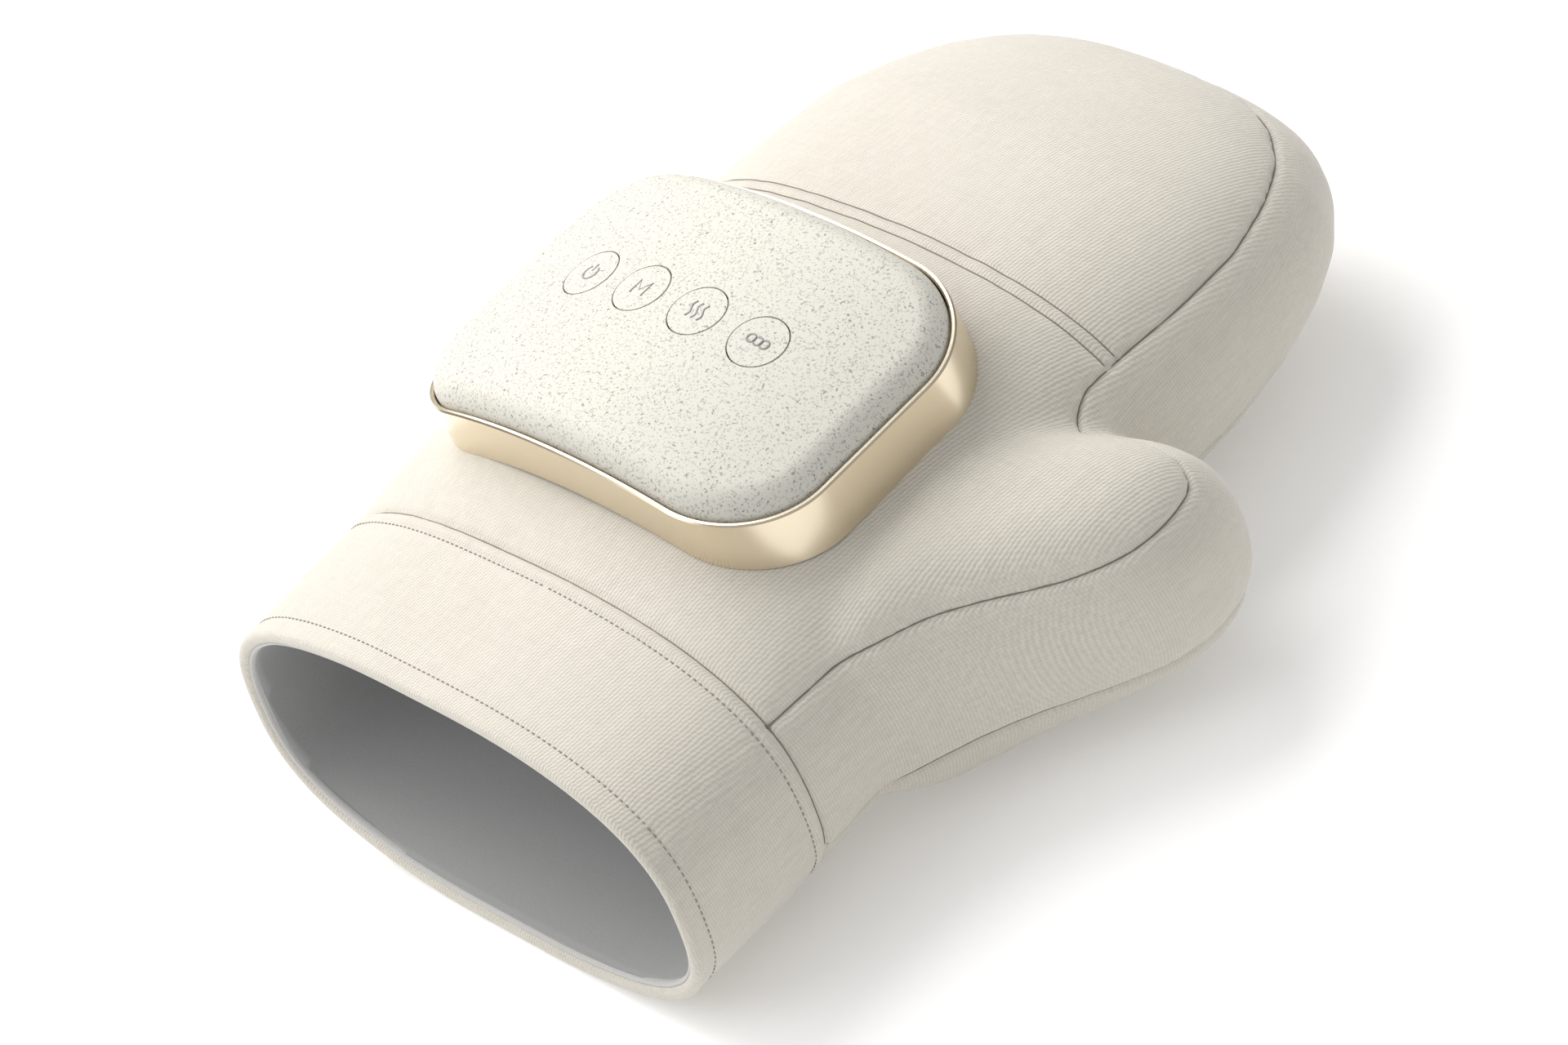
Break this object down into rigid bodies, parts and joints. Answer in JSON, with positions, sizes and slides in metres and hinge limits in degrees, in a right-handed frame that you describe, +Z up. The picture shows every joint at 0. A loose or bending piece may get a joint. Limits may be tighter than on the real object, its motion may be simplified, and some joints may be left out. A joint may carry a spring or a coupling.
{
  "type": "hand massager",
  "caption": "Mitten-shaped air-compression hand massager: padded fabric shell with thumb pocket, grey lining, and an arched control box with push buttons on the back of the hand.",
  "frame": {"origin": "on the flat underside, below the middle of the control box, on the palm's centre line", "axes": "+Z up out of the back of the hand, +Y towards the fingertips, +X towards the thumb"},
  "size_m": [0.2187, 0.267, 0.1089],
  "materials": {
    "shell_fabric": "woven twill, matte",
    "binding_fabric": "smooth knitted binding",
    "lining_fabric": "smooth grey lining",
    "ring_metal": "champagne satin anodised",
    "lid_plastic": "cream with fine grey specks",
    "button_plastic": "cream with fine grey specks",
    "gasket_rubber": "dark silicone",
    "housing_plastic": "moulded",
    "bladder_film": "translucent film",
    "heater_film": "polyimide film",
    "foam": "open foam",
    "board": "circuit board",
    "component": "moulded packages",
    "cell_wrap": "shrink wrap",
    "motor_steel": "rolled steel can",
    "steel": "plated",
    "hose_silicone": "translucent silicone"
  },
  "bodies": {
    "mitten": {"cuff_binding": "binding_fabric", "cuff_band": "shell_fabric", "bottom_panel": "shell_fabric", "side_gusset": "shell_fabric", "palm_top_panel": "shell_fabric", "finger_top_panel": "shell_fabric", "hand_lining": "lining_fabric", "clamp_frame": "housing_plastic", "control_tray": "housing_plastic", "trim_ring": "ring_metal", "lid_gasket": "gasket_rubber", "control_lid": "lid_plastic", "key_switches": "component", "key_board": "board", "upper_airbag": "bladder_film", "heating_film": "heater_film", "comfort_foam": "foam", "finger_airbag": "bladder_film", "lower_airbag": "bladder_film", "finger_pad": "foam", "thumb_airbag": "bladder_film", "acupressure_plate": "housing_plastic", "battery_cell": "cell_wrap", "battery_holder": "housing_plastic", "pump_motor": "motor_steel", "pump_head": "housing_plastic", "pump_cradle": "gasket_rubber", "air_manifold": "housing_plastic", "valve_body_1": "component", "valve_body_2": "component", "air_hoses": "hose_silicone", "control_board": "board", "board_components": "component", "charge_board": "board", "charging_port": "steel", "frame_screws": "steel", "lid_screws": "steel", "board_screws": "steel"},
    "power_key": {"power_button": "button_plastic"},
    "mode_key": {"mode_button": "button_plastic"},
    "heat_key": {"heat_button": "button_plastic"},
    "pressure_key": {"pressure_button": "button_plastic"},
    "rotor": {"pump_rotor": "steel"},
    "plunger_1": {"valve_plunger_1": "steel"},
    "plunger_2": {"valve_plunger_2": "steel"}
  },
  "joints": [
    {"name": "power_press", "type": "slide", "parent": "mitten", "child": "power_key", "axis": [0.1697, 0, -0.9855], "range_m": [0, 0.0006], "stiffness_N_per_m": 400, "springref_m": -0.0002},
    {"name": "mode_press", "type": "slide", "parent": "mitten", "child": "mode_key", "axis": [0.0566, 0, -0.9984], "range_m": [0, 0.0006], "stiffness_N_per_m": 400, "springref_m": -0.0002},
    {"name": "heat_press", "type": "slide", "parent": "mitten", "child": "heat_key", "axis": [-0.0566, 0, -0.9984], "range_m": [0, 0.0006], "stiffness_N_per_m": 400, "springref_m": -0.0002},
    {"name": "pressure_press", "type": "slide", "parent": "mitten", "child": "pressure_key", "axis": [-0.1697, 0, -0.9855], "range_m": [0, 0.0006], "stiffness_N_per_m": 400, "springref_m": -0.0002},
    {"name": "pump_spin", "type": "hinge", "parent": "mitten", "child": "rotor", "pos_m": [-0.037, 0.0204, 0.0888], "axis": [1, 0, 0], "continuous": true},
    {"name": "valve_1_stroke", "type": "slide", "parent": "mitten", "child": "plunger_1", "axis": [0, 0, 1], "range_m": [0, 0.0008], "stiffness_N_per_m": 120, "springref_m": -0.0015},
    {"name": "valve_2_stroke", "type": "slide", "parent": "mitten", "child": "plunger_2", "axis": [0, 0, 1], "range_m": [0, 0.0008], "stiffness_N_per_m": 120, "springref_m": -0.0015}
  ]
}
